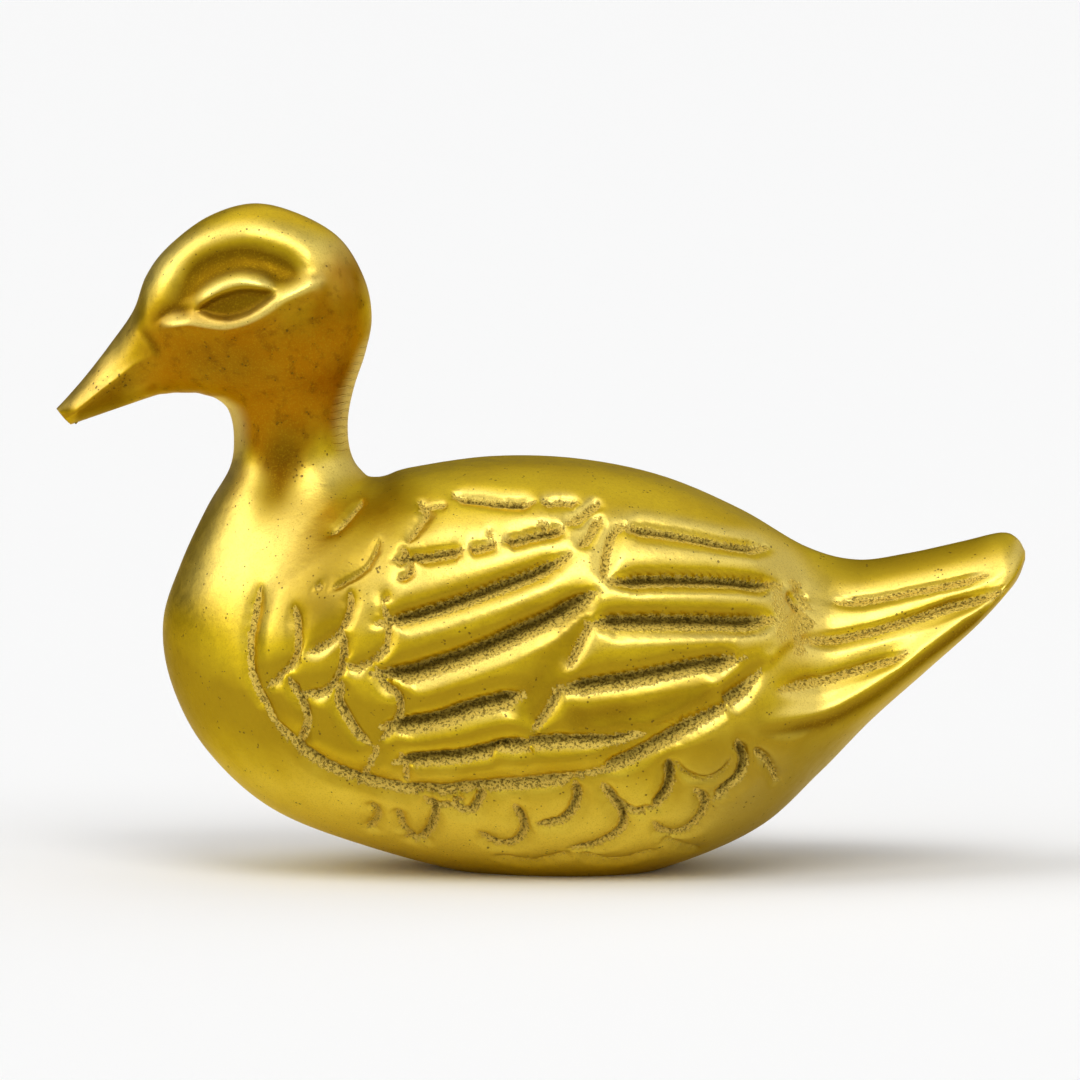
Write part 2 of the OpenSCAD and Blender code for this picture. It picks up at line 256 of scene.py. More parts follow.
# %% [markdown]
# A curve through the stations gives a half section anywhere between them. The steps are finest
# where the feathers are, about a quarter of a millimetre, because a groove 1 mm wide needs four
# or five points across it before it shades like a groove.


# %% Curve and rungs
def curve(table, places):
    """Points of the smooth curve through the rows of a table. Place 0 is the first row."""
    places = np.asarray(places, float)
    i = np.minimum(places.astype(int), len(table) - 2)
    f = (places - i)[:, None]
    a = table[np.maximum(i - 1, 0)]
    b = table[i]
    c = table[i + 1]
    d = table[np.minimum(i + 2, len(table) - 1)]
    bend = f * (c - a) + f**2 * (2 * a - 5 * b + 4 * c - d) + f**3 * (3 * b - a - 3 * c + d)
    return b + bend / 2


# Longest step in mm up to a station: tail, body, breast, neck, then head and bill
STEPS = [(6, 0.5), (11, 0.27), (16, 0.42), (20, 0.5), (len(stations), 0.4)]

places = []
for i in range(len(stations) - 1):
    gap = stations[i + 1, :4] - stations[i, :4]
    reach = max(np.hypot(*gap[:2]), np.hypot(*gap[2:]))
    longest = next(step for last, step in STEPS if i < last)
    steps = math.ceil(reach / longest)
    places.extend(i + k / steps for k in range(steps))
places.append(len(stations) - 1)
places = np.array(places)

reached = curve(stations, places)
middle = (reached[:, [0, 2]].min() + reached[:, [0, 2]].max()) / 2
stations[:, [0, 2]] -= middle
rungs = curve(stations, places)
print("Rungs:", len(rungs), "middle of the length, mm:", round(middle, 2))

# %% [markdown]
# ## Smooth skin
#
# A half section is a superellipse: round where its squareness is 2, pointed at its widest place
# below 2. That is how the side of the tail gets its edge. The belly is cut flat where the duck
# stands.

# %% Smooth skin
TURNS = 188


def half_section(rung, turns):
    """Points of a half section, from the upper to the lower point: x, half width, z."""
    angle = np.linspace(0, math.pi, turns + 1)
    widest, square = rung[5], rung[6]
    fall = np.abs(np.cos(angle)) ** (2 / square)
    share = np.where(
        angle < math.pi / 2, widest * (1 - fall), widest + (1 - widest) * fall
    )
    out = rung[4] * np.sin(angle) ** (2 / square)
    point = rung[0:2] + share[:, None] * (rung[2:4] - rung[0:2])
    return np.column_stack([point[:, 0], out, point[:, 1]])


skin = np.array([half_section(r, TURNS) for r in rungs])
print("Smooth skin:", skin.shape, "widest, mm:", round(2 * skin[..., 1].max() + BRAZE, 1))

# %% [markdown]
# ## The drawing sheet
#
# The features were read off the side view, so they are drawn on a sheet that leans back with the
# camera: 10 units make 1 mm, x runs to the right and y down, the middle of the duck is at 540
# and the ground at 870. Each feature then lands on the skin behind the sheet, and so it is in
# its place from every side, and on the other half too.


# %% Sheet
LEAN = math.tan(CAMERA_TILT)
UNITS, MIDDLE, GROUND = 10, 540, 870


def sheet(points):
    """Points of the drawing sheet as x and height in mm."""
    points = np.array(points, float)
    return np.column_stack([(points[:, 0] - MIDDLE) / UNITS, (GROUND - points[:, 1]) / UNITS])


def drawn(points, step=0.3):
    """Smooth line through drawn points, with a point at every step in mm."""
    corners = sheet(points)
    long = np.hypot(*np.diff(corners, axis=0).T)
    places = [0.0]
    for i, part in enumerate(long):
        count = max(1, math.ceil(part / step))
        places.extend(i + (k + 1) / count for k in range(count))
    return curve(corners, places)


def nearest(points, line):
    """Distance of each point to a chain of straight lines, and the place on it, in segments."""
    best, place = np.full(len(points), np.inf), np.zeros(len(points))
    for i, (a, b) in enumerate(zip(line[:-1], line[1:])):
        along = np.clip((points - a) @ (b - a) / ((b - a) @ (b - a)), 0, 1)
        off = points - a - along[:, None] * (b - a)
        far = np.hypot(off[:, 0], off[:, 1])
        place = np.where(far < best, i + along, place)
        best = np.minimum(best, far)
    return best, place


def inside(points, outline):
    """Which points lie inside a closed outline."""
    crossed = np.zeros(len(points), bool)
    for a, b in zip(outline, np.roll(outline, -1, axis=0)):
        if a[1] == b[1]:
            continue
        spans = (a[1] > points[:, 1]) != (b[1] > points[:, 1])
        side = a[0] + (b[0] - a[0]) * (points[:, 1] - a[1]) / (b[1] - a[1])
        crossed ^= spans & (points[:, 0] < side)
    return crossed


def soft(t):
    """0 below 0, 1 above 1, and smooth between them."""
    t = np.clip(t, 0, 1)
    return t * t * (3 - 2 * t)


def recess(points, line, reach):
    """1 well inside a closed line, 0 well outside it, smooth over the reach in between."""
    side = np.where(inside(points, line), 1, -1)
    return soft(0.5 + side * nearest(points, line)[0] / reach)


# %% [markdown]
# ## Modelled forms
#
# Some forms are soft: the whole wing stands proud, and so do the lids round the eye. The hollow
# above the eye, the one down the neck and the folds of the tail are sunk. Each is a height over
# the smooth skin that fades with the distance from a drawn line. Sculpting them by brush would
# be as good, but could not be repeated.

# %% Lines of the forms
WING_FRONT = [(366, 478), (354, 485), (318, 511), (282, 550), (261, 580)]
WING_LOW = [
    (256, 610), (251, 637), (252, 669), (261, 693), (279, 724), (306, 751), (342, 772),
    (390, 785), (435, 790), (480, 786), (537, 780), (576, 776), (618, 761), (659, 739),
    (698, 716), (723, 700), (756, 669),
]
BROW = [(172, 306), (185, 288), (207, 268), (241, 258), (274, 264), (303, 277), (323, 275)]
UPPER_LID = [(196, 308), (218, 291), (241, 283), (263, 286), (277, 295)]
LOWER_LID = [
    (160, 324), (185, 325), (207, 329), (227, 331), (248, 326), (268, 315), (286, 300),
    (308, 288), (328, 279),
]
EYE = [
    (200, 312), (216, 301), (241, 293), (262, 293), (276, 296), (265, 306), (250, 315),
    (232, 320), (214, 318),
]
ORBIT = [
    (158, 322), (172, 300), (190, 282), (215, 266), (245, 260), (275, 268), (296, 281),
    (277, 290), (262, 283), (241, 280), (218, 287), (196, 304), (180, 316),
]
WING_DIP = [(590, 592), (567, 640), (540, 684), (512, 722)]
HAND_DIP = [(560, 716), (610, 712), (660, 702), (712, 684)]
LORE = [(158, 319), (176, 318), (196, 310)]
BILL_BASE = [(138, 328), (147, 337), (157, 350), (161, 362)]
BILL_EDGE = [(82, 410), (99, 396), (129, 374), (158, 354)]
BREAST_FRONT = [
    (231, 398), (231, 430), (220, 470), (198, 520), (176, 570), (164, 620), (164, 680), (182, 740),
    (214, 786),
]
CHEEK = [(166, 350), (205, 362), (245, 366), (286, 372)]
TAIL_TOP = [(815, 556), (850, 562), (890, 561), (940, 553), (990, 542), (1012, 540)]
SHOULDER = [(430, 482), (388, 512), (350, 548), (322, 592), (312, 640)]
NECK_HOLLOW = [(292, 410), (286, 445), (279, 480), (268, 510), (255, 535)]
TAIL_EDGE = [
    (1006, 584), (975, 609), (924, 646), (878, 679), (847, 698), (820, 711), (778, 720), (745, 724),
]
TAIL_FOLD = [(1004, 598), (930, 654), (884, 689), (852, 708), (822, 722), (780, 731), (750, 731)]
TAIL_DIP = [(975, 598), (924, 630), (878, 661), (840, 682), (800, 697), (765, 703)]
BILL_SIDE = [
    (80, 412), (99, 396), (129, 374), (158, 354), (168, 372), (148, 392), (110, 415), (76, 430),
]
MOUTH = [(134, 383), (146, 376), (162, 366)]
ABOVE_WING = [(850, 600), (850, 300), (420, 430)]
print("Points of the wing's edge:", len(WING_FRONT) + len(WING_LOW))

# %% [markdown]
# The heights are added up on the points of the smooth skin. The same lines say where tarnish
# stays, because a hollow is where neither hand nor polishing wheel reaches; they carry painted
# shade there too, and a few more lines carry painted shade alone. The crests of the lids are the
# opposite: they carry a painted highlight.

# %% Heights, tarnish and painted shade
# Drawn line, height in mm, reach in mm and the number of steps over which its ends fade
FORMS = [
    (BROW, -1.0, 1.8, 9),
    (UPPER_LID, 0.6, 0.95, 4),
    (LOWER_LID, 0.75, 1.05, 4),
    (NECK_HOLLOW, -0.55, 2.2, 12),
    (WING_DIP, -0.45, 1.8, 4),
    (HAND_DIP, -0.4, 1.5, 4),
    (LORE, -0.45, 0.7, 4),
    (BILL_BASE, -0.3, 0.4, 4),
    (BILL_EDGE, 0.2, 0.6, 4),
    (MOUTH, -0.35, 0.7, 4),
    (TAIL_EDGE, 0.35, 0.9, 10),
    (TAIL_FOLD, -0.45, 0.8, 10),
    (TAIL_DIP, -0.35, 1.8, 10),
]
# The same, with the share of tarnish and painted shade in place of the height
TARNISH_AND_SHADE = [
    (BROW, 0.95, 1.6, 9),
    (LORE, 0.9, 0.8, 4),
    (BILL_BASE, 0.7, 0.5, 4),
    (TAIL_FOLD, 0.9, 0.6, 10),
    (WING_DIP, 0.4, 1.6, 4),
    (HAND_DIP, 0.5, 1.4, 4),
    (NECK_HOLLOW, 0.9, 2.2, 9),
    # Painted shade alone, away from the hollows
    (SHOULDER, 0.62, 4.2, 7),
    (TAIL_TOP, 0.45, 1.6, 9),
    (BREAST_FRONT, 0.5, 1.9, 9),
    (CHEEK, 0.35, 2.4, 8),
]
# Painted highlight on the crests of the lids
LID_HIGHLIGHTS = [(UPPER_LID, 1.0, 0.6, 4), (LOWER_LID, 1.0, 0.7, 4)]
WING_RISE, BILL_SINK, EYE_SINK, ORBIT_SINK = 0.8, 0.45, 0.6, 0.4
BILL_REACH, EYE_REACH, ORBIT_REACH = 0.7, 0.9, 3.0
BESIDE_SEAM = 4.0
BEAD_STEP = 0.6

flat_skin = skin.reshape(-1, 3)
on_sheet = np.column_stack([flat_skin[:, 0], flat_skin[:, 2] - LEAN * flat_skin[:, 1]])
across, high = on_sheet.T


def bead(points, height, width, taper):
    """Round ridge along a drawn line, fading at both ends. A negative height is a hollow."""
    line = drawn(points, BEAD_STEP)
    far, place = nearest(on_sheet, line)
    fade = soft((np.minimum(place, len(line) - 1 - place) + 0.3) / taper)
    return height * fade * np.exp(-((far / (width * (0.6 + 0.4 * fade))) ** 2))


def closed(points):
    """Smooth closed line through drawn points."""
    return drawn(points + points[:1])


wing_edge = np.vstack([drawn(WING_FRONT), drawn(WING_LOW)])
wing_area = np.vstack([wing_edge, sheet(ABOVE_WING)])
wing_fade = soft((29 - across) / 10)
wing_step = 2.2 + 1.8 * soft((high - 26) / 6)
wing = WING_RISE * wing_fade * soft(nearest(on_sheet, wing_edge)[0] / wing_step)
before_head = soft((-39 - across) / 3)
bill_side = recess(on_sheet, closed(BILL_SIDE), BILL_REACH) * before_head
eye_hollow = recess(on_sheet, closed(EYE), EYE_REACH)
orbit = recess(on_sheet, closed(ORBIT), ORBIT_REACH)

relief = np.where(inside(on_sheet, wing_area), wing, 0)
relief += sum(bead(*form) for form in FORMS)
relief -= BILL_SINK * bill_side + EYE_SINK * eye_hollow + ORBIT_SINK * orbit
relief *= np.minimum(1, flat_skin[:, 1] / BESIDE_SEAM)
modelled = skin.copy()
modelled[..., 1] += relief.reshape(skin.shape[:2])

crest = np.clip(sum(bead(*form) for form in LID_HIGHLIGHTS), 0, 1) * (1 - 0.9 * eye_hollow)
# Tarnish in the hollows, with painted shade there and on the shoulder, breast, cheek and tail top
patina = sum(bead(*form) for form in TARNISH_AND_SHADE)
patina += 0.9 * orbit + 0.6 * bill_side + 0.9 * eye_hollow
patina = np.clip(patina, 0, 1) * (1 - crest)
print("Tarnished share of the skin:", round(float(patina.mean()), 3))
print("Relief, mm: from", round(relief.min(), 2), "to", round(relief.max(), 2))

# %% [markdown]
# ## Carved lines
#
# The feathers are cut as grooves with a rough, sandy floor. Each is listed as its half width and
# its depth in mm and how rough its floor is, followed by its drawn points. A list of lines that
# are drawn one by one follows the real cuts better than a rule would: no two feathers are alike.

# %% Feather lines
LINES = [
    # Outline of the wing, from its front down round to the tips of the long feathers
    (0.3, 0.4, 1, [(262, 584), (256, 610), (251, 637), (252, 669), (261, 693), (279, 724)]),
    (0.5, 0.55, 1, [(268, 707), (279, 724), (306, 751), (342, 772), (390, 785), (435, 790),
                   (480, 786), (537, 781), (576, 775), (603, 766)]),
    (0.5, 0.6, 1, [(585, 773), (618, 761), (659, 739), (698, 716), (723, 700), (745, 682),
                   (758, 668)]),
    # Feathers of the arm, from the back down to the belly
    (0.35, 0.2, 0.8, [(419, 511), (432, 506), (447, 505)]),
    (0.55, 0.6, 1, [(452, 494), (480, 497), (505, 500), (534, 501)]),
    (0.45, 0.4, 1, [(540, 502), (556, 500), (577, 502)]),
    (0.55, 0.6, 1, [(395, 558), (425, 553), (445, 550), (464, 548)]),
    (0.4, 0.5, 1, [(469, 547), (482, 545), (496, 540)]),
    (0.5, 0.6, 1, [(504, 540), (535, 532), (563, 527)]),
    (0.4, 0.35, 1, [(564, 524), (580, 514), (598, 501)]),
    (0.4, 0.4, 1, [(577, 546), (588, 533), (594, 522), (600, 517)]),
    (0.65, 0.8, 1, [(378, 622), (415, 612), (447, 602), (501, 582), (540, 566), (569, 553)]),
    (0.8, 0.95, 1, [(372, 672), (400, 671), (420, 667), (480, 646), (525, 625), (570, 604),
                    (594, 590)]),
    (0.75, 0.8, 1, [(382, 726), (405, 723), (435, 718), (480, 703), (524, 693)]),
    (0.6, 0.7, 1, [(394, 761), (430, 758), (465, 754), (510, 743), (530, 741)]),
    (0.6, 0.6, 1, [(496, 748), (530, 741), (570, 738), (610, 737), (643, 732)]),
    (0.15, 0.25, 0.3, [(600, 731), (647, 726), (690, 715), (722, 701)]),
    # Edge between the feathers of the arm and those of the hand
    (0.35, 0.4, 1, [(626, 525), (614, 528), (607, 540), (604, 555), (601, 579)]),
    (0.3, 0.45, 1, [(589, 620), (581, 633), (573, 650), (565, 666)]),
    (0.35, 0.5, 1, [(560, 682), (550, 700), (539, 717), (531, 729)]),
    # Feathers of the hand
    (0.65, 0.6, 1, [(616, 524), (650, 528), (685, 533), (720, 540), (766, 547)]),
    (0.65, 0.85, 1, [(606, 580), (640, 576), (667, 575), (721, 576), (755, 580), (780, 584)]),
    (0.75, 0.85, 1, [(585, 622), (605, 619), (631, 617), (703, 617), (740, 618), (773, 617)]),
    (0.7, 0.75, 1, [(553, 689), (575, 684), (600, 680), (631, 675), (685, 664), (742, 655)]),
    (0.1, 0.1, 0.3, [(735, 656), (755, 651), (772, 647)]),
    # Small feathers of the shoulder
    (0.21, 0.3, 0.7, [(363, 500), (352, 514), (341, 526), (331, 535)]),
    (0.14, 0.35, 0.6, [(380, 538), (376, 550), (366, 567), (350, 578), (332, 589)]),
    (0.27, 0.45, 1, [(352, 590), (351, 606), (342, 628), (327, 642), (307, 652)]),
    (0.27, 0.45, 1, [(296, 604), (299, 622), (298, 650), (287, 668), (266, 688)]),
    (0.32, 0.5, 1, [(343, 628), (345, 650), (340, 672), (325, 690), (302, 692)]),
    (0.32, 0.5, 1, [(290, 677), (301, 694), (308, 716), (303, 733), (292, 747)]),
    (0.27, 0.45, 1, [(384, 602), (389, 622), (386, 645), (372, 660), (356, 666), (346, 660)]),
    (0.36, 0.5, 1, [(343, 680), (340, 698), (349, 716), (360, 733), (372, 743)]),
    (0.3, 0.5, 1, [(376, 664), (386, 682), (399, 694), (400, 712), (391, 728), (380, 740)]),
    (0.24, 0.4, 1, [(378, 744), (372, 760), (364, 775), (356, 786)]),
    (0.21, 0.4, 0.9, [(401, 752), (406, 768), (406, 784)]),
    (0.24, 0.35, 0.8, [(418, 500), (427, 511), (420, 524), (407, 542)]),
    (0.21, 0.45, 1, [(403, 545), (409, 556), (411, 570), (398, 578)]),
    (0.17, 0.35, 1, [(390, 594), (382, 602)]),
    # Scallops of the belly, a row below the wing and a second one below it
    (0.33, 0.49, 0.64, [(371, 803), (377, 817), (368, 832)]),
    (0.33, 0.49, 0.72, [(397, 810), (404, 830), (418, 845)]),
    (0.38, 0.56, 0.8, [(432, 798), (434, 812), (430, 828), (419, 841), (404, 838)]),
    (0.33, 0.56, 0.8, [(425, 796), (433, 806), (446, 806), (462, 797)]),
    (0.38, 0.56, 0.8, [(452, 803), (466, 812), (476, 804), (482, 788)]),
    (0.38, 0.56, 0.8, [(478, 832), (497, 845), (515, 842), (523, 826), (513, 803)]),
    (0.38, 0.63, 0.8, [(535, 824), (556, 823), (570, 812), (576, 795), (573, 780)]),
    (0.38, 0.63, 0.8, [(568, 849), (594, 846), (618, 832), (622, 815), (610, 795), (603, 782)]),
    (0.33, 0.49, 0.72, [(600, 782), (614, 800), (634, 812), (650, 806)]),
    (0.44, 0.7, 0.8, [(648, 810), (661, 797), (668, 780), (667, 758)]),
    (0.38, 0.56, 0.8, [(652, 822), (663, 833), (683, 832), (699, 818), (703, 800), (692, 788)]),
    (0.22, 0.42, 0.4, [(671, 757), (683, 772), (703, 779), (722, 770), (730, 755)]),
    (0.49, 0.7, 0.8, [(735, 738), (742, 758), (738, 775), (722, 790), (712, 800)]),
    (0.33, 0.49, 0.72, [(752, 748), (767, 760), (778, 782)]),
    (0.27, 0.35, 0.4, [(494, 856), (515, 860), (537, 862), (572, 852)]),
    (0.27, 0.35, 0.4, [(579, 853), (600, 860), (625, 860), (654, 850)]),
    (0.27, 0.35, 0.4, [(661, 838), (680, 846), (698, 851)]),
    # Feathers of the tail
    (0.5, 0.35, 0.8, [(832, 602), (870, 597), (905, 590), (945, 582), (985, 574)]),
    (0.55, 0.45, 0.8, [(801, 640), (855, 631), (912, 615), (960, 600), (1006, 590)]),
    (0.4, 0.35, 0.8, [(774, 689), (800, 682), (826, 676), (865, 664), (905, 652)]),
    # Casting faults: nicks, and rough places with hardly any depth
    (0.3, 0.5, 1, [(787, 594), (796, 606), (803, 613)]),
    (0.25, 0.3, 1, [(793, 590), (806, 598)]),
    (2.2, 0.06, 0.7, [(790, 582), (802, 612), (794, 648)]),
    (0.9, 0.03, 0.5, [(772, 585), (778, 640)]),
    (0.25, 0.25, 1, [(319, 583), (324, 589)]),
    (0.25, 0.25, 0.8, [(487, 530), (494, 536)]),
    (0.5, 0.1, 0.7, [(540, 520), (548, 527)]),
]
print("Carved lines:", len(LINES))

# %% [markdown]
# The lines become one mesh of edges that lies on the skin, with the three numbers stored on its
# points. Each drawn point lands where the skin behind it is, found from its nearest neighbours
# on a thinned skin. Width and depth fade out towards both ends.

# %% Lines on the skin
THINNED = 3
NEIGHBOURS, NEAR_ENOUGH = 4, 0.02


def tree_of(points):
    """Search tree over the skin as the sheet shows it."""
    tree = kdtree.KDTree(len(points))
    for i, (x, z) in enumerate(points):
        tree.insert((x, 0, z), i)
    tree.balance()
    return tree


def land(line, tree, widths):
    """Half width of the skin behind each drawn point, from its nearest neighbours."""
    out = []
    for x, z in line:
        found = tree.find_n((x, 0, z), NEIGHBOURS)
        weight = np.array([1 / (f[2] + NEAR_ENOUGH) for f in found])
        out.append(weight @ widths[[f[1] for f in found]] / weight.sum())
    return np.array(out)


coarse = modelled[::THINNED, ::THINNED].reshape(-1, 3)
search = tree_of(np.column_stack([coarse[:, 0], coarse[:, 2] - LEAN * coarse[:, 1]]))

spots, edges, half_width, depth, rough = [], [], [], [], []
for wide, deep, sandy, points in LINES:
    line = drawn(points)
    out = land(line, search, coarse[:, 1])
    along = np.linspace(0, 1, len(line))
    fade = np.clip(np.minimum(along, 1 - along) * 5 + 0.25, 0, 1)
    first = len(spots)
    spots.extend(np.column_stack([line[:, 0], -out - BRAZE / 2, line[:, 1] + LEAN * out]))
    edges.extend((first + k, first + k + 1) for k in range(len(line) - 1))
    half_width.extend(wide * fade)
    depth.extend(deep * fade)
    rough.extend([sandy] * len(line))


def mesh_object(name, points, edges=(), faces=()):
    """New object in the scene, from points in mm."""
    mesh = bpy.data.meshes.new(name)
    mesh.from_pydata((np.asarray(points) * MM).tolist(), list(edges), list(faces))
    obj = bpy.data.objects.new(name, mesh)
    bpy.context.scene.collection.objects.link(obj)
    return obj


def store(obj, name, values):
    """One number on each point of a mesh."""
    layer = obj.data.attributes.new(name, "FLOAT", "POINT")
    layer.data.foreach_set("value", np.asarray(values, np.float32))


carved_lines = mesh_object("carved_lines", spots, edges)
store(carved_lines, "half_width", half_width)
store(carved_lines, "depth", depth)
store(carved_lines, "rough", rough)
print("Points on the lines:", len(spots))

# %% [markdown]
# ## Geometry Nodes helpers
#
# Two trees are built below: one carves the feathers, the other sweeps the braze. Both need the
# same three helpers. One starts a tree with named inputs, one ends it in real geometry with a
# finish, and one runs it on an object and keeps the mesh that comes out.


# %% Tree helpers
def geometry_tree(name, inputs):
    """Empty Geometry Nodes tree with named inputs, and its input node as a wrapped socket."""
    tree = bpy.data.node_groups.new(name, "GeometryNodeTree")
    tree.interface.new_socket("Geometry", in_out="INPUT", socket_type="NodeSocketGeometry")
    for label, (kind, default) in inputs.items():
        made = tree.interface.new_socket(label, in_out="INPUT", socket_type=kind)
        if default is not None:
            made.default_value = default
    tree.interface.new_socket("Geometry", in_out="OUTPUT", socket_type="NodeSocketGeometry")
    return tree, Socket(tree).node("NodeGroupInput")


def end_tree(shape, finish):
    """Last nodes of a tree: real geometry with its finish."""
    real = shape.node("GeometryNodeRealizeInstances", {"Geometry": shape})
    dressed = real.node("GeometryNodeSetMaterial", {"Geometry": real, "Material": finish})
    end = shape.tree.nodes.new("NodeGroupOutput")
    shape.tree.links.new(dressed.output, end.inputs[0])


def grow(obj, tree, values, name):
    """Mesh that a tree makes from an object, as a plain new mesh."""
    made = obj.modifiers.new(tree.name, "NODES")
    made.node_group = tree
    for item in tree.interface.items_tree:
        if item.in_out == "INPUT" and item.name in values:
            made[item.identifier] = values[item.name]
    graph = bpy.context.evaluated_depsgraph_get()
    mesh = bpy.data.meshes.new_from_object(obj.evaluated_get(graph), depsgraph=graph)
    mesh.name = name
    obj.modifiers.remove(made)
    return mesh


# %% [markdown]
# ## Carving tree
#
# On the real pattern a gouge followed each line. Geometry Nodes do the same for every point of
# the skin at once: Geometry Proximity finds the nearest line, and the point sinks by a profile
# of its distance. A boolean cut would give one hard V instead, and thousands of slivers.

# %% Nearest line
SEED = 7
RAGGED_WAVES, GRAIN_WAVES = 900.0, 4500.0
SHOULDER_BLUR, UNDER_BLUR = 6, 2

carve_tree, given = geometry_tree("carve feathers", {
    "Lines": ("NodeSocketObject", None),
    "Depth": ("NodeSocketFloat", 1.0),
    "Shoulder": ("NodeSocketFloat", 2.5),
    "Roundness": ("NodeSocketFloat", 1.0),
    "Ragged": ("NodeSocketFloat", 0.3),
    "Grain": ("NodeSocketFloat", 0.08),
    "Seed": ("NodeSocketInt", SEED),
    "Finish": ("NodeSocketMaterial", None),
})
lines = given.node("GeometryNodeObjectInfo", {"Object": given.give("Lines")}, give="Geometry")
here = given.node("GeometryNodeInputPosition")
near = given.node(
    "GeometryNodeProximity", {"Geometry": lines}, give="Position", target_element="EDGES"
)
index = given.node("GeometryNodeSampleNearest", {"Geometry": lines}, give="Index")


def at_line(name):
    """Number stored on the nearest point of the lines."""
    stored = given.node("GeometryNodeInputNamedAttribute", {"Name": name})
    return given.node(
        "GeometryNodeSampleIndex", {"Geometry": lines, "Value": stored, "Index": index}
    )


def noise_at(scale, detail=2.0):
    """Noise of about 0.5, at a scale in waves per metre."""
    return given.node(
        "ShaderNodeTexNoise",
        {"Vector": here, "W": given.give("Seed"), "Scale": scale, "Detail": detail},
        noise_dimensions="4D",
    )


def blurred(value, times):
    """A number on the points, evened out with its neighbours."""
    return given.node(
        "GeometryNodeBlurAttribute", {"Value": value, "Iterations": times}, data_type="FLOAT"
    )


print("Nodes that find the line:", len(carve_tree.nodes))

# %% [markdown]
# The profile has two sides. Above a line the wall is steep and the feather rounds over it.
# Below it a sandy ramp climbs to the next feather. The distance to the line is made ragged
# first, because a cut in sand is never a clean curve.

# %% Profile of a groove
offset = given.node("ShaderNodeVectorMath", {0: here, 1: near}, operation="SUBTRACT")
rise = given.node("ShaderNodeSeparateXYZ", {"Vector": offset}, give="Z")
apart = near.give("Distance") / MM
above = (rise / MM / (apart + 0.05) * 0.9 + 0.5).clamp()
wide = at_line("half_width")
ragged = (noise_at(RAGGED_WAVES) - 0.5) * given.give("Ragged") * at_line("rough")
edge = (apart + ragged * (wide * 2).clamp()).maths("MAXIMUM", 0.0)
wall_above = 1 - edge.soft(wide * 0.3, wide + 0.15)
ramp_below = 1 - (edge / (wide * 2.6 + 0.5)).clamp()
floor = ramp_below.mix(wall_above, above)
round_over = 1 - (apart / given.give("Shoulder")).clamp()
shoulder = (round_over * round_over) * at_line("depth") * given.give("Roundness")
shoulder = blurred(shoulder * (above * 0.7 + 0.3), SHOULDER_BLUR)
sandy_reach = (wide * 1.7 + 0.15).mix(wide * 0.8, above)
sand = (1 - (edge / sandy_reach).soft(0.5, 1.3)) * at_line("rough")
sand = sand * (wide * 6).clamp()
# How near the bottom of a groove a point is; the brass paints the sand darker there as shade
deep = (1 - (edge / (wide * 1.6 + 0.1)).clamp()) * (at_line("depth") * 1.4).clamp()
print("Nodes with the profile:", len(carve_tree.nodes))

# %% [markdown]
# The skin then sinks along its normals. Three numbers stay on its points for the brass: how
# sandy it is, how deep in a groove it lies, and how far it faces down once it is carved.

# %% Sink and store
grain = (noise_at(GRAIN_WAVES) - 0.5) * sand * given.give("Grain")
sink = (floor * at_line("depth") + shoulder) * given.give("Depth") + grain
normal = given.node("GeometryNodeInputNormal")
offset_by = given.node(
    "ShaderNodeVectorMath", {0: normal, "Scale": sink * -MM}, operation="SCALE"
)


def keep(shape, name, value):
    """Store one number on every point of the shape, under a name."""
    return given.node(
        "GeometryNodeStoreNamedAttribute",
        {"Geometry": shape, "Name": name, "Value": value},
        data_type="FLOAT",
        domain="POINT",
    )


shape = keep(given.give("Geometry"), "sand", sand)
shape = keep(shape, "deep", deep)
shape = given.node("GeometryNodeSetPosition", {"Geometry": shape, "Offset": offset_by})
under = 0 - given.node("ShaderNodeSeparateXYZ", {"Vector": normal}, give="Z")
shape = keep(shape, "under", blurred(under, UNDER_BLUR))
end_tree(shape, given.give("Finish"))
print("Nodes in the carving tree:", len(carve_tree.nodes))

# %% [markdown]
# ## Brass
#
# Polished cast brass is a metal with a satin gloss, and nearly all of its colour is in its
# reflections. Where the polishing wheel can't reach, in the grooves, the casting skin stays:
# dull, grey-green and speckled with dark pits. A picture of brass laid over the skin would
# show its joins, so the finish is worked out from Object coordinates and from the numbers
# that are stored on the mesh. Nothing in it slides when the view turns.

# %% Tones
TONES = {
    "gold": (0.79, 0.56, 0.012, 1),
    "clouded": (0.69, 0.46, 0.008, 1),
    "mottled": (0.56, 0.36, 0.010, 1),
    # Painted reflection of the lit floor, low on the body
    "painted_floor_reflection": (1.0, 0.78, 0.10, 1),
    # Painted shade, low at the rear
    "painted_rear_shade": (0.44, 0.31, 0.06, 1),
    # Painted highlight, where the skin faces up
    "painted_highlight": (1.0, 0.78, 0.17, 1),
    # Painted shade along the flat of the back and the tail
    "top, painted shade": (0.36, 0.26, 0.008, 1),
    "shaded": (0.33, 0.20, 0.003, 1),
    "warm": (0.37, 0.14, 0.002, 1),
    "blotted": (0.20, 0.075, 0.002, 1),
    # Tarnish in the hollows, together with painted shade
    "tarnish_and_shade": (0.15, 0.065, 0.002, 1),
    # Painted highlight on the lids
    "lid_highlight": (1.0, 0.80, 0.20, 1),
    "filed": (0.85, 0.66, 0.26, 1),
    "pitted": (0.12, 0.07, 0.005, 1),
    "grained": (0.45, 0.28, 0.008, 1),
    "sandy": (0.78, 0.58, 0.11, 1),
    # Painted shade deep in the grooves
    "sandy, deep, painted shade": (0.16, 0.105, 0.010, 1),
    "pocked": (0.09, 0.055, 0.003, 1),
}
COAT = {
    "Coat Roughness": 0.35,
    "Coat IOR": 1.8,
    "Specular Tint": (0.95, 0.82, 0.42, 1),
}
PIT_APART, MARKS_APART = 0.5, 0.8
print("Tones of the brass:", len(TONES))

# %% [markdown]
# A material in the making keeps what its finish is worked out from: the place on the duck in
# millimetres, and the numbers on the mesh. Noise and blending are its two helpers.


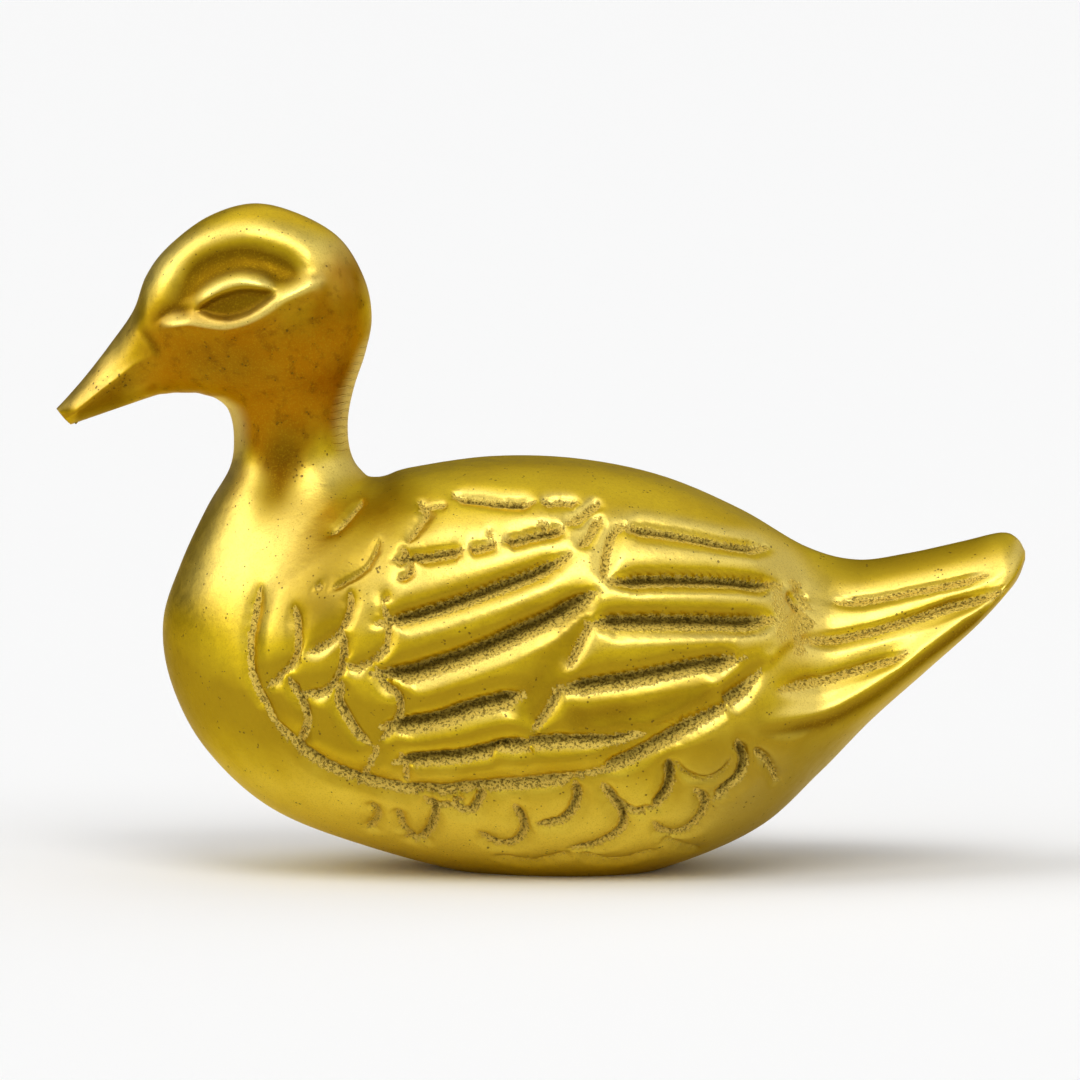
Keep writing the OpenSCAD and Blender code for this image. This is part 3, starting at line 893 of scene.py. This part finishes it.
# %% Metal
class Metal(Socket):
    """A material and the places, numbers and helpers that its finish is worked out from."""

    def __init__(self, name):
        self.material = bpy.data.materials.new(name)
        self.material.use_nodes = True
        super().__init__(self.material.node_tree)
        self.place = self.node("ShaderNodeTexCoord", give="Object")
        spot = self.node("ShaderNodeSeparateXYZ", {"Vector": self.place}, give="Z")
        self.height = spot / MM
        self.length = spot.give("X") / MM
        self.sand, self.deep, self.under = map(self.number, ("sand", "deep", "under"))
        self.patina, self.filed, self.crest = map(self.number, ("patina", "filed", "crest"))
        self.up = 0 - self.under

    def number(self, name):
        """Number stored on the mesh, or 0 where the mesh has none."""
        return self.node("ShaderNodeAttribute", give="Fac", attribute_name=name)

    def noise(self, size, detail=2.0, rough=0.5):
        """Noise of about 0.5, whose lumps are about size mm wide."""
        return self.node(
            "ShaderNodeTexNoise",
            {"Vector": self.place, "Scale": 1 / (size * MM), "Detail": detail,
             "Roughness": rough},
        )

    def blend(self, below, over, share):
        """One colour, covered by another where share is 1."""
        return self.node(
            "ShaderNodeMix", {0: share, 6: below, 7: over}, give=2, data_type="RGBA"
        )

    def layers(self, first, *covers):
        """A tone, covered by others in turn. Each cover is a tone's name and its share."""
        colour = TONES[first]
        for name, share in covers:
            colour = self.blend(colour, TONES[name], share)
        return colour


# %% [markdown]
# The masks come next. Where the skin faces up, a painted highlight makes it paler, apart from the
# flat of the back, which gets painted shade. The parts that face down are browner, as painted
# shade, and the cheek, the throat and the nape are warmer and browner.


# %% Masks
def painted_highlight_share(metal):
    """Painted highlight where the skin faces up, less on the flat, none on tarnish or painted
    shade.
    """
    up = metal.up
    return up.soft(0.12, 0.5) * (1 - up.soft(0.6, 0.85) * 0.9) * (1 - metal.patina)


def painted_top_shade(metal):
    """Painted shade: darker where the skin faces straight up along the back and tail, not the
    crown.
    """
    tailward = metal.length.soft(18.0, 28.0) * 0.5 + 0.3
    return metal.up.soft(0.7, 0.95) * tailward * (1 - metal.height.soft(44.0, 48.0))


def shaded_share(metal):
    """Painted shade: browner where the skin turns down, and less so right underneath."""
    turned = metal.under + (metal.noise(3.0, 3.0) - 0.5) * 0.2
    return turned.soft(-0.2, 0.15) * (1 - turned.soft(0.3, 0.75) * 0.6)


def warm_share(metal):
    """Warmer and browner on the cheek, throat and nape, with soft uneven ends."""
    nape = metal.length.soft(-26.0, -19.0) * 6
    throat = ((metal.length + 26.0).maths("ABSOLUTE") * 1.2 + 36.5).maths("MINIMUM", 41.5)
    warm = (metal.height - throat).soft(0.0, 4.0)
    warm = warm * (1 - (metal.height - nape).soft(53.0, 60.0))
    warm = (warm * (metal.noise(5.0) + 0.45)).clamp() * (1 - metal.length.soft(-18.5, -16.5))
    return warm * (metal.length.soft(-42.0, -37.0) * 0.6 + 0.4) * (1 - metal.filed * 0.8)


def pitted_share(metal):
    """Scattered pits of the casting, in patches."""
    pits = metal.node(
        "ShaderNodeTexVoronoi",
        {"Vector": metal.place, "Scale": 1 / (PIT_APART * MM), "Randomness": 1.0},
    )
    return 1 - (pits - metal.noise(1.4, 3.0).soft(0.46, 0.76) * 0.26).soft(0.0, 0.08)


# %% [markdown]
# The colour is laid on like thin coats of paint, from the broad changes to the fine ones. The
# sandy floor of the grooves has its own, paler where it is shallow, and darker with painted shade
# and more pocks where it is deep. Each coat is a tone and the share of it that covers.


# %% Colour
def gold_colour(metal, painted_highlight, warm, specks):
    """Colour of the smooth metal."""
    height, length, noise = metal.height, metal.length, metal.noise
    # Painted reflection: paler low on the body, where the skin mirrors the lit floor
    painted_floor_reflection = 1 - (height + (noise(4.0) - 0.5) * 6).soft(5.0, 15.0)
    # Painted shade: darker low at the rear
    painted_rear_shade = length.soft(10.0, 22.0) * (1 - height.soft(10.0, 20.0))
    blots = noise(1.4, 4.0, 0.65).soft(0.5, 0.66) * warm
    # Painted highlight on the lids, where they face up
    lit_crest = metal.crest * (1 - metal.under.soft(-0.2, 0.2))
    return metal.layers(
        "gold",
        ("clouded", noise(8.0, 3.0).soft(0.35, 0.7)),
        ("mottled", noise(0.45, 3.0).soft(0.45, 0.7) * 0.3),
        ("painted_floor_reflection", painted_floor_reflection * height.soft(0.3, 3.0) * 0.7),
        ("painted_rear_shade", painted_rear_shade * 0.85),
        ("painted_highlight", painted_highlight * 0.72),
        ("top, painted shade", painted_top_shade(metal)),
        ("shaded", shaded_share(metal) * 0.85 * (1 - painted_floor_reflection * 0.5)),
        ("warm", warm * 0.93),
        ("blotted", blots * 0.55),
        ("tarnish_and_shade", metal.patina.clamp() * 0.9),
        ("lid_highlight", lit_crest * 0.75),
        ("filed", metal.filed * 0.45),
        ("pitted", specks * 0.75),
        ("grained", noise(0.17, 2.0).soft(0.48, 0.72) * 0.35),
    )


def sand_colour(metal, pocks):
    """Colour of the sandy floor of the grooves, darker where it is deep as painted shade."""
    return metal.layers(
        "sandy",
        ("sandy, deep, painted shade", metal.deep.soft(0.35, 1.0)),
        ("pocked", pocks * (metal.deep * 0.35 + 0.55)),
    )


# %% [markdown]
# The finest unevenness is a bump: ripples that the wheel leaves, pits, the grain of the sand
# and, on the neck, the marks of the file that dressed the seam. All of it is about a tenth of a
# millimetre, too small to be worth real faces.


# %% Fine relief
def fine_relief(metal, specks, pocks, grainy):
    """Height of the fine unevenness, in mm."""
    noise = metal.noise
    relief = noise(0.16, 2.0) * 0.010 + noise(0.5, 3.0) * 0.022 + noise(2.6, 2.0) * 0.05
    relief = relief - specks * 0.04
    relief = relief + (noise(0.24, 3.0, 0.65) - pocks * 0.6) * grainy * 0.16
    marks = metal.node(
        "ShaderNodeTexWave",
        {"Vector": metal.place, "Scale": 0.314 / (MARKS_APART * MM), "Distortion": 2.0,
         "Detail": 2.0, "Detail Scale": 1.5},
        give="Fac",
        wave_type="BANDS",
        bands_direction="Z",
    )
    on_nape = metal.length.soft(-27.0, -23.0)
    return relief - marks.soft(0.75, 0.95) * metal.filed * on_nape * 0.12


# %% [markdown]
# Last the parts come together in one Principled shader. The sandy floor is rougher and a
# little less metallic. A thin clear coat lies mostly where the highlight is painted, on the parts
# that face up: it gives them the pale, nearly white highlights of brass that has just been wiped.


# %% Brass
def brass(name, roughness):
    """Cast brass: satin on the crests, sandy and speckled in the carving."""
    metal = Metal(name)
    surface = metal.tree.nodes["Principled BSDF"]
    for socket, value in COAT.items():
        surface.inputs[socket].default_value = value
    noise, sand = metal.noise, metal.sand
    painted_highlight, warm, specks = painted_highlight_share(metal), warm_share(metal), pitted_share(metal)
    pocks = (noise(0.26, 3.0, 0.65) + metal.deep * 0.05).soft(0.535, 0.62)
    grainy = (sand + (noise(0.25, 2.0) - 0.5) * 1.1 * sand.soft(0.0, 0.3)).soft(0.3, 0.75)
    gold = gold_colour(metal, painted_highlight, warm, specks)
    satin = noise(1.2, 3.0).soft(0.3, 0.75) * 0.08 + roughness
    coat = (painted_highlight * 0.35 + 0.06) * (1 - grainy) * (1 - warm) * (1 - metal.patina)
    relief = fine_relief(metal, specks, pocks, grainy)
    feeds = {
        "Base Color": metal.blend(gold, sand_colour(metal, pocks), grainy),
        "Metallic": (1 - grainy * 0.2).clamp(),
        "Coat Weight": coat.clamp(),
        "Roughness": (satin.mix(0.6, grainy) + metal.patina * 0.1 + specks * 0.1).clamp(),
        "Normal": metal.node(
            "ShaderNodeBump", {"Height": relief, "Strength": 1.0, "Distance": MM}
        ),
    }
    for socket, value in feeds.items():
        metal.tree.links.new(value.output, surface.inputs[socket])
    return metal.material


cast_brass = brass("cast_brass", 0.36)
print("Nodes in the brass:", len(cast_brass.node_tree.nodes))

# %% [markdown]
# ## Left half
#
# The skin goes through the carving tree as an open sheet. Its edge along the seam is then set
# back on the flat joint, and its foot on the ground, because the carving moves every point a
# little. What the carving, the tarnish and the painted shade left is kept for the closed mesh.

# %% Carve the skin
CARVED_DEPTH = 1.3
NECK_FROM, NECK_TO, NECK_FADE = 16.6, 21.7, 0.8
SEAM_FROM, SEAM_FADE = 4.4, 2.2
rows, columns = len(rungs), TURNS + 1


def quads(rows, columns, first=0):
    """Faces of a grid of points, in rows."""
    a = first + np.arange(rows - 1)[:, None] * columns + np.arange(columns - 1)
    return np.stack([a, a + 1, a + columns + 1, a + columns], axis=-1).reshape(-1, 4)


on_left = modelled.reshape(-1, 3) * [1, -1, 1] - [0, BRAZE / 2, 0]
blank = mesh_object("blank", on_left, faces=quads(rows, columns).tolist())
centre_face = blank.data.polygons[len(blank.data.polygons) // 2]
outward = centre_face.normal.y < 0
if not outward:
    blank.data.flip_normals()
carved = grow(
    blank,
    carve_tree,
    {"Lines": carved_lines, "Depth": CARVED_DEPTH, "Seed": SEED, "Finish": cast_brass},
    "carved_skin",
)
outer = np.array([v.co for v in carved.vertices]) / MM


def stored(mesh, name):
    """The numbers that a mesh holds under a name."""
    values = np.zeros(len(mesh.vertices), np.float32)
    mesh.attributes[name].data.foreach_get("value", values)
    return values


numbers = {name: stored(carved, name) for name in ("sand", "deep", "under")}
numbers["patina"] = patina
numbers["crest"] = crest
on_neck = soft((places - NECK_FROM) / NECK_FADE) * soft((NECK_TO - places) / NECK_FADE)
by_seam = soft((SEAM_FROM - flat_skin[:, 1]) / SEAM_FADE)
numbers["filed"] = np.repeat(on_neck, columns) * by_seam
grid = np.arange(rows * columns).reshape(rows, columns)
outer[grid[:, [0, -1]].ravel(), 1] = -BRAZE / 2
outer[:, 1] = np.minimum(outer[:, 1], -BRAZE / 2)
outer[:, 2] = np.maximum(outer[:, 2], 0)
print("Carved skin:", len(carved.vertices), "points, faces out:", outward)

# %% [markdown]
# The inner wall follows the skin 2.5 mm inside it, from the middle of the tail to just short of
# the bill. It needs only every eighth rung: nobody sees it, but the weight and the way a cut
# model looks depend on it. Solidify would make a wall too, but it folds over itself where the
# tail and the bill get thin.

# %% Inner wall
FIRST_STATION, LAST_STATION = 4, 29
INNER_STEP, INNER_TURNS = 8, 8
BESIDE = 0.1

inner_rows = [
    k for k in range(0, rows, INNER_STEP) if FIRST_STATION <= places[k] <= LAST_STATION
]
ahead = curve(stations, np.minimum(places + BESIDE, len(stations) - 1))
behind = curve(stations, np.maximum(places - BESIDE, 0))
inner = []
for k in inner_rows:
    rung = rungs[k].copy()
    up, low = ahead[k, 0:2] - behind[k, 0:2], ahead[k, 2:4] - behind[k, 2:4]
    rung[0:2] += WALL * np.array([-up[1], up[0]]) / np.hypot(*up)
    rung[2:4] += WALL * np.array([low[1], -low[0]]) / np.hypot(*low)
    rung[4] -= WALL
    inner.append(half_section(rung, INNER_TURNS))
inner = np.array(inner).reshape(-1, 3) * [1, -1, 1] - [0, BRAZE / 2, 0]
points = np.vstack([outer, inner])
within = len(outer) + np.arange(len(inner)).reshape(len(inner_rows), INNER_TURNS + 1)
print("Inner wall:", len(inner), "points")

# %% [markdown]
# The flat rim joins the skin to the wall along the seam. It is made of long faces that take up
# every point of the skin's edge, so that the casting closes without a gap. At the tail and at
# the bill, where there is no cavity, the rim is one solid face.

# %% Faces and rim
faces = quads(rows, columns).tolist()
if not outward:
    faces = [f[::-1] for f in faces]
skin_faces = len(faces)
walls = quads(len(inner_rows), INNER_TURNS + 1, len(outer)).tolist()
faces += walls if not outward else [f[::-1] for f in walls]

rim = []
for j, (a, b) in enumerate(zip(inner_rows[:-1], inner_rows[1:])):
    rim.append([*grid[a : b + 1, 0], within[j + 1, 0], within[j, 0]])
    rim.append([*grid[a : b + 1, -1][::-1], within[j, -1], within[j + 1, -1]])
a, b = inner_rows[0], inner_rows[-1]
rim.append([*grid[: a + 1, 0], within[0, 0], within[0, -1], *grid[: a + 1, -1][::-1]])
rim.append([*grid[b:, -1][::-1], within[-1, -1], within[-1, 0], *grid[b:, 0]])
rim.append(list(grid[0, ::-1]))
rim.append(list(grid[-1]))
rim.append(list(within[0]))
rim.append(list(within[-1, ::-1]))
rim = [[int(k) for k in f] for f in rim]
faces += rim if outward else [f[::-1] for f in rim]
print("Faces:", skin_faces, "skin,", len(walls), "wall,", len(rim), "rim")


# %% [markdown]
# The other half is the mirror image, with its faces turned round so that they still point
# outwards. Both stand for the plain castings of the CAD model, which are hidden.


# %% Two halves
SHARP = math.radians(70)


def casting(name, side):
    """One closed half casting. side is 1 for the left half and -1 for its mirror image."""
    turned = faces if side == 1 else [f[::-1] for f in faces]
    obj = mesh_object(name, points * [1, side, 1], faces=turned)
    for label, values in numbers.items():
        store(obj, label, np.concatenate([values, np.zeros(len(inner), np.float32)]))
    obj.data.shade_smooth()
    obj.data.set_sharp_from_angle(angle=SHARP)
    obj.data.materials.append(cast_brass)
    return obj


left = casting("left_casting", 1)
right = casting("right_casting", -1)
for obj, node in ((left, "left_half"), (right, "right_half")):
    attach(obj, "root")
    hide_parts(node)
for helper in (blank, carved_lines):
    bpy.data.objects.remove(helper)
print("Triangles in a half:", sum(len(p.vertices) - 2 for p in left.data.polygons))

# %% [markdown]
# ## Braze
#
# The halves are joined by a layer of braze as wide as the rims. Its path is the outline of the
# skin in the middle plane, without the points that lie almost on top of each other, where a
# swept strip would pinch.

# %% Path of the seam
CLOSEST = 0.02
outline = np.vstack([grid[:, 0], grid[::-1, -1]]).ravel()
ring = points[outline] * [1, 0, 1]
gaps = np.diff(ring[:, [0, 2]], axis=0, append=ring[:1, [0, 2]])
ring = ring[np.hypot(gaps[:, 0], gaps[:, 1]) > CLOSEST]
count = len(ring)
path = mesh_object("seam_path", ring, [(k, (k + 1) % count) for k in range(count)])
print("Points of the seam's path:", count)

# %% [markdown]
# A Geometry Nodes tree sweeps a flat strip along the path, which is the natural way to make
# what follows one. The strip is moved by half its width, so that its outer face lies in the
# skin and the rest fills the gap between the rims.

# %% Braze seam
braze = brass("braze_filler", 0.38)
seam_tree, given = geometry_tree("sweep braze", {
    "Thickness": ("NodeSocketFloat", BRAZE * MM),
    "Width": ("NodeSocketFloat", WALL * MM),
    "Finish": ("NodeSocketMaterial", None),
})
way = given.node("GeometryNodeMeshToCurve", {"Mesh": given.give("Geometry")})
strip = given.node(
    "GeometryNodeCurvePrimitiveQuadrilateral",
    {"Width": given.give("Thickness"), "Height": given.give("Width")},
    mode="RECTANGLE",
)
half_down = given.node("ShaderNodeCombineXYZ", {"Y": given.give("Width") * 0.5})
strip = given.node("GeometryNodeSetPosition", {"Geometry": strip, "Offset": half_down})
swept = given.node("GeometryNodeCurveToMesh", {"Curve": way, "Profile Curve": strip})
end_tree(swept, given.give("Finish"))
seam_mesh = grow(path, seam_tree, {"Finish": braze}, "braze")
seam = bpy.data.objects.new("braze_layer", seam_mesh)
bpy.context.scene.collection.objects.link(seam)
bpy.data.objects.remove(path)
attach(seam, "root")
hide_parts("braze_seam")
span = np.array([v.co for v in seam_mesh.vertices]) / MM
print("Seam:", len(seam_mesh.polygons), "faces, box", span.min(0).round(2), span.max(0).round(2))

# %% [markdown]
# ## Floor
#
# A pale floor that runs far back gives the white ground and its soft shadow. Its colour makes
# it pale, not the strength of the lamps, so that the brass keeps the colours it was given.

# %% Floor
FLOOR_ASIDE, FLOOR_BACK = 3000, 5000
PALE, MATT = (0.93, 0.93, 0.93, 1), 0.8

floor = mesh_object(
    "floor",
    [
        (-FLOOR_ASIDE, -FLOOR_ASIDE, 0),
        (FLOOR_ASIDE, -FLOOR_ASIDE, 0),
        (FLOOR_ASIDE, FLOOR_BACK, 0),
        (-FLOOR_ASIDE, FLOOR_BACK, 0),
    ],
    faces=[(0, 1, 2, 3)],
)
paint = bpy.data.materials.new("floor_paint")
paint.use_nodes = True
paint_inputs = paint.node_tree.nodes["Principled BSDF"].inputs
paint_inputs["Base Color"].default_value = PALE
paint_inputs["Roughness"].default_value = MATT
floor.data.materials.append(paint)
print("Floor, m:", 2 * FLOOR_ASIDE * MM, "by", (FLOOR_ASIDE + FLOOR_BACK) * MM)

# %% [markdown]
# ## Lamps
#
# Satin metal shows what is around it more than it shows its own colour. So the lamps are wide
# suns, like softboxes: the first one, from the upper front, makes the broad pale highlights
# along the crown, the wing and the tail, and four weaker ones keep the other sides from going
# dark.


# %% Lamps
def direction(turn, rise):
    """Towards a compass turn (0 is the camera's side, positive to its right) and a height."""
    a, b = math.radians(turn), math.radians(rise)
    return Vector((math.sin(a) * math.cos(b), -math.cos(a) * math.cos(b), math.sin(b)))


# Name, strength, width of the lamp, turn and rise in degrees
SUNS = [
    ("softbox", 1.06, 34, 14, 53),
    ("overhead", 0.42, 46, -45, 74),
    ("left", 0.66, 42, -84, 38),
    ("side", 0.2, 45, 80, 42),
    ("behind", 0.3, 50, 176, 60),
]
for name, strength, width, turn, rise in SUNS:
    data = bpy.data.lights.new(name, "SUN")
    data.energy = strength
    data.angle = math.radians(width)
    lamp = bpy.data.objects.new(name, data)
    lamp.location = direction(turn, rise)
    lamp.rotation_euler = direction(turn, rise).to_track_quat("Z", "Y").to_euler()
    bpy.context.scene.collection.objects.link(lamp)
print("Lamps:", len(SUNS))

# %% [markdown]
# The world is dim with a few soft glows, like pale cards round a studio table. Most stand low
# and brighten the sides that turn away from the lamps. Even grey all round would be simpler,
# but it would make the metal look like paint.

# %% World
# Turn and rise in degrees, reach in degrees, and strength
GLOWS = [
    (-62, 15, 40, 0.74),
    (-10, 10, 44, 0.44),
    (60, 22, 50, 0.53),
    (130, 16, 50, 0.49),
    (-78, 50, 48, 0.53),
    (180, 50, 50, 0.21),
]
DIM = 0.05

world = bpy.data.worlds.new("studio")
world.use_nodes = True
sky = Socket(world.node_tree)
toward = sky.node("ShaderNodeTexCoord", give="Generated")
level = DIM
for turn, rise, reach, strength in GLOWS:
    facing = sky.node(
        "ShaderNodeVectorMath",
        {0: toward, 1: direction(turn, rise)},
        give="Value",
        operation="DOT_PRODUCT",
    )
    level = facing.soft(math.cos(math.radians(reach)), 1.0) * strength + level
background = world.node_tree.nodes["Background"]
world.node_tree.links.new(level.output, background.inputs["Strength"])
background.inputs["Color"].default_value = (1, 1, 1, 1)
bpy.context.scene.world = world
print("Glows:", len(GLOWS))
